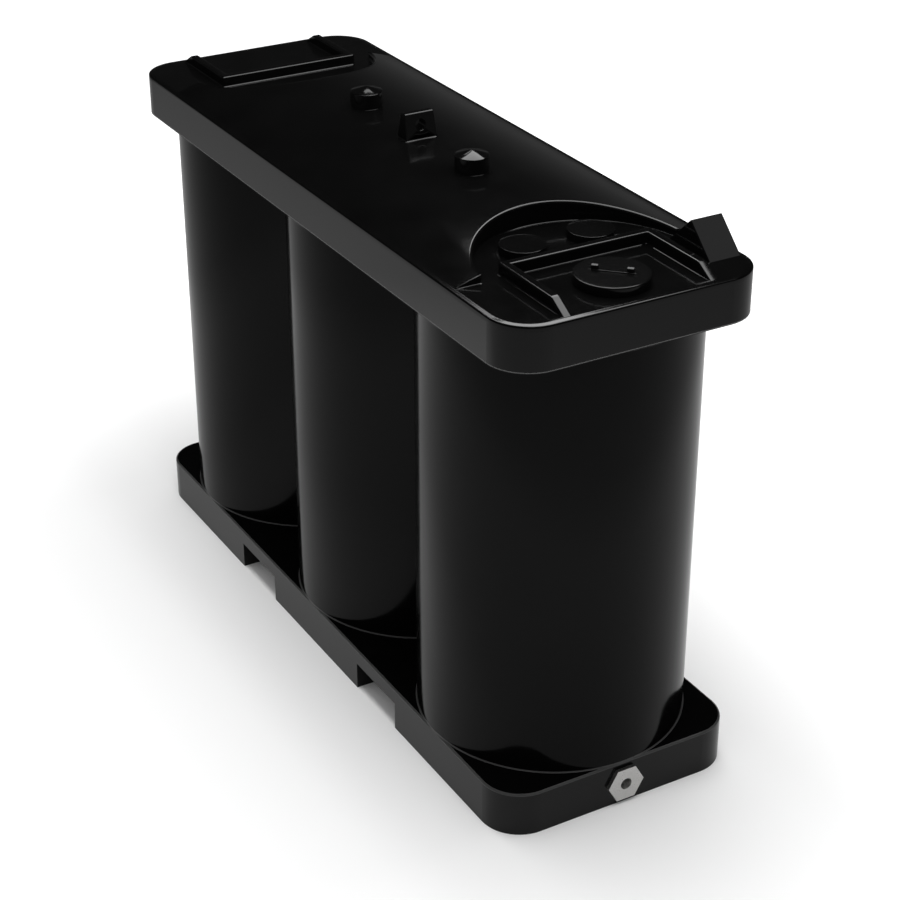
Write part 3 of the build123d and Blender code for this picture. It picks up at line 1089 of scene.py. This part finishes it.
def grey_stops(ramp, stops):
    """Fill a colour ramp with greys of given levels at given positions."""
    ramp.elements.remove(ramp.elements[1])
    ramp.elements[0].position, level = stops[0]
    ramp.elements[0].color = (level, level, level, 1)
    for position, level in stops[1:]:
        ramp.elements.new(position).color = (level, level, level, 1)


def pale_floor():
    """Large flat floor under the tank."""
    mesh = bpy.data.meshes.new("studio_floor")
    corners = [(x * FLOOR_HALF, y * FLOOR_HALF, 0) for x, y in ((-1, -1), (1, -1), (1, 1), (-1, 1))]
    mesh.from_pydata(corners, [], [(0, 1, 2, 3)])
    floor = bpy.data.objects.new("studio_floor", mesh)
    bpy.context.scene.collection.objects.link(floor)
    material, tree, output = new_material("matt_studio_floor")
    rays = add_node(tree, "ShaderNodeLightPath").outputs
    clear = add_node(
        tree, "ShaderNodeMath", {0: rays["Is Camera Ray"], 1: rays["Is Transmission Ray"]}, operation="MAXIMUM"
    ).outputs[0]
    seen = add_node(
        tree, "ShaderNodeMath", {0: clear, 1: rays["Is Glossy Ray"]}, operation="MAXIMUM"
    ).outputs[0]
    colour = add_node(
        tree,
        "ShaderNodeMix",
        {"Factor": seen, 6: linear(FLOOR_BOUNCE_COLOUR), 7: linear(FLOOR_SEEN_COLOUR)},
        data_type="RGBA",
    ).outputs[2]
    place = add_node(tree, "ShaderNodeTexCoord").outputs["Object"]
    distance = add_node(tree, "ShaderNodeVectorMath", {0: place}, operation="LENGTH").outputs["Value"]
    far = add_node(
        tree,
        "ShaderNodeMapRange",
        {"Value": distance, "From Min": GLOW_START, "From Max": GLOW_END, "To Min": 0.0, "To Max": FAR_GLOW},
        interpolation_type="SMOOTHSTEP",
    ).outputs["Result"]
    strength = add_node(tree, "ShaderNodeMath", {0: far, 1: seen}, operation="MULTIPLY").outputs[0]
    glow = add_node(tree, "ShaderNodeEmission", {"Color": (1, 1, 1, 1), "Strength": strength}).outputs[0]
    matt = add_node(tree, "ShaderNodeBsdfDiffuse", {"Color": colour}).outputs[0]
    both = add_node(tree, "ShaderNodeAddShader", {0: matt, 1: glow}).outputs[0]
    # Painted pool of light: for gloss, the floor is painted darker with distance from the tank.
    along = add_node(tree, "ShaderNodeMath", {0: distance, 1: POOL_SIZE}, operation="DIVIDE").outputs[0]
    away = add_node(tree, "ShaderNodeValToRGB", {"Fac": along})
    grey_stops(away.color_ramp, [(metres / POOL_SIZE, level) for metres, level in POOL_STOPS])
    shade = add_node(
        tree, "ShaderNodeMath", {0: away.outputs["Color"], 1: rays["Is Glossy Ray"]}, operation="MULTIPLY"
    ).outputs[0]
    dark = add_node(tree, "ShaderNodeBsdfDiffuse", {"Color": (0, 0, 0, 1)}).outputs[0]
    surface = add_node(tree, "ShaderNodeMixShader", {0: shade, 1: both, 2: dark}).outputs[0]
    tree.links.new(surface, output.inputs["Surface"])
    mesh.materials.append(material)
    return floor


floor = pale_floor()
print("Floor:", 2 * FLOOR_HALF, "m square")

# %% [markdown]
# ## The light
# Black gloss is lit by what it mirrors. An even sky lights matt things from all sides and lays the soft shadow on the
# floor. What the gloss mirrors is set apart from it: a pale horizon that falls off fast to a dark ceiling, so that
# walls mirror the pale floor and the deck stays nearly black. A large soft box hangs over the tank. It draws the thin
# bright lines along the rounded edges. A long ceiling lamp lights only matt surfaces, and sets how fast the shadow on
# the floor fades. Two small cards stand where the wedge's slope and the far stub's point mirror them.

# %% Room
SKY_LEVEL = 0.55
HORIZON_STOPS = (
    (0.0, 0.10), (0.11, 0.06), (0.19, 0.035), (0.27, 0.016), (0.37, 0.006), (0.46, 0.004), (1.0, 0.003)
)


def studio_room():
    """World that is white for the camera, even for matt light, and pale only near the horizon for gloss."""
    world = bpy.data.worlds.new("studio_room")
    bpy.context.scene.world = world
    world.use_nodes = True
    tree = world.node_tree
    tree.nodes.clear()
    rays = add_node(tree, "ShaderNodeLightPath").outputs
    seen = add_node(
        tree, "ShaderNodeMath", {0: rays["Is Camera Ray"], 1: rays["Is Transmission Ray"]}, operation="MAXIMUM"
    ).outputs[0]
    direction = add_node(tree, "ShaderNodeTexCoord").outputs["Generated"]
    height = add_node(tree, "ShaderNodeSeparateXYZ", {"Vector": direction}).outputs["Z"]
    horizon = add_node(tree, "ShaderNodeValToRGB", {"Fac": height})
    grey_stops(horizon.color_ramp, HORIZON_STOPS)
    mirrored = add_node(tree, "ShaderNodeBackground", {"Color": horizon.outputs["Color"], "Strength": 1.0})
    sky = add_node(tree, "ShaderNodeBackground", {"Color": (1, 1, 1, 1), "Strength": SKY_LEVEL})
    white = add_node(tree, "ShaderNodeBackground", {"Color": (1, 1, 1, 1), "Strength": 1.0})
    lit = add_node(
        tree, "ShaderNodeMixShader", {0: rays["Is Glossy Ray"], 1: sky.outputs[0], 2: mirrored.outputs[0]}
    ).outputs[0]
    shown = add_node(tree, "ShaderNodeMixShader", {0: seen, 1: lit, 2: white.outputs[0]}).outputs[0]
    output = add_node(tree, "ShaderNodeOutputWorld")
    tree.links.new(shown, output.inputs["Surface"])


studio_room()
print("Room: sky", SKY_LEVEL, "horizon", HORIZON_STOPS[0][1], "ceiling", HORIZON_STOPS[-1][1])

# %% Lamps
SOFT_BOX = {"place": (0.09, 0.48, 2.75), "size": (2.02, 1.3), "watts": 44.0}
STUB_CARD = {"place": (-1.24, 0.62, 2.75), "size": (0.25, 0.48), "watts": 1.1}
SIDE_CARD = {"place": (1.73, 1.18, 2.75), "size": (0.8, 0.8), "watts": 1.4}
CEILING_LAMP = {"place": (-0.1, -0.45, 3.5), "size": (6.0, 1.2), "watts": 104.0}


def flat_lamp(name, place, size, watts, mirrored):
    """Rectangular lamp that faces straight down and that the camera doesn't see."""
    data = bpy.data.lights.new(name, "AREA")
    data.shape = "RECTANGLE"
    data.size, data.size_y = size
    data.energy = watts
    lamp = bpy.data.objects.new(name, data)
    lamp.location = place
    lamp.visible_camera = False
    lamp.visible_glossy = mirrored
    bpy.context.scene.collection.objects.link(lamp)


flat_lamp("overhead_soft_box", mirrored=True, **SOFT_BOX)
flat_lamp("stub_card", mirrored=True, **STUB_CARD)
flat_lamp("side_card", mirrored=True, **SIDE_CARD)
flat_lamp("ceiling_lamp", mirrored=False, **CEILING_LAMP)
bpy.context.scene.view_settings.view_transform = "Standard"
print("Lamps:", ", ".join(f"{lamp['watts']} W" for lamp in (SOFT_BOX, STUB_CARD, SIDE_CARD, CEILING_LAMP)))
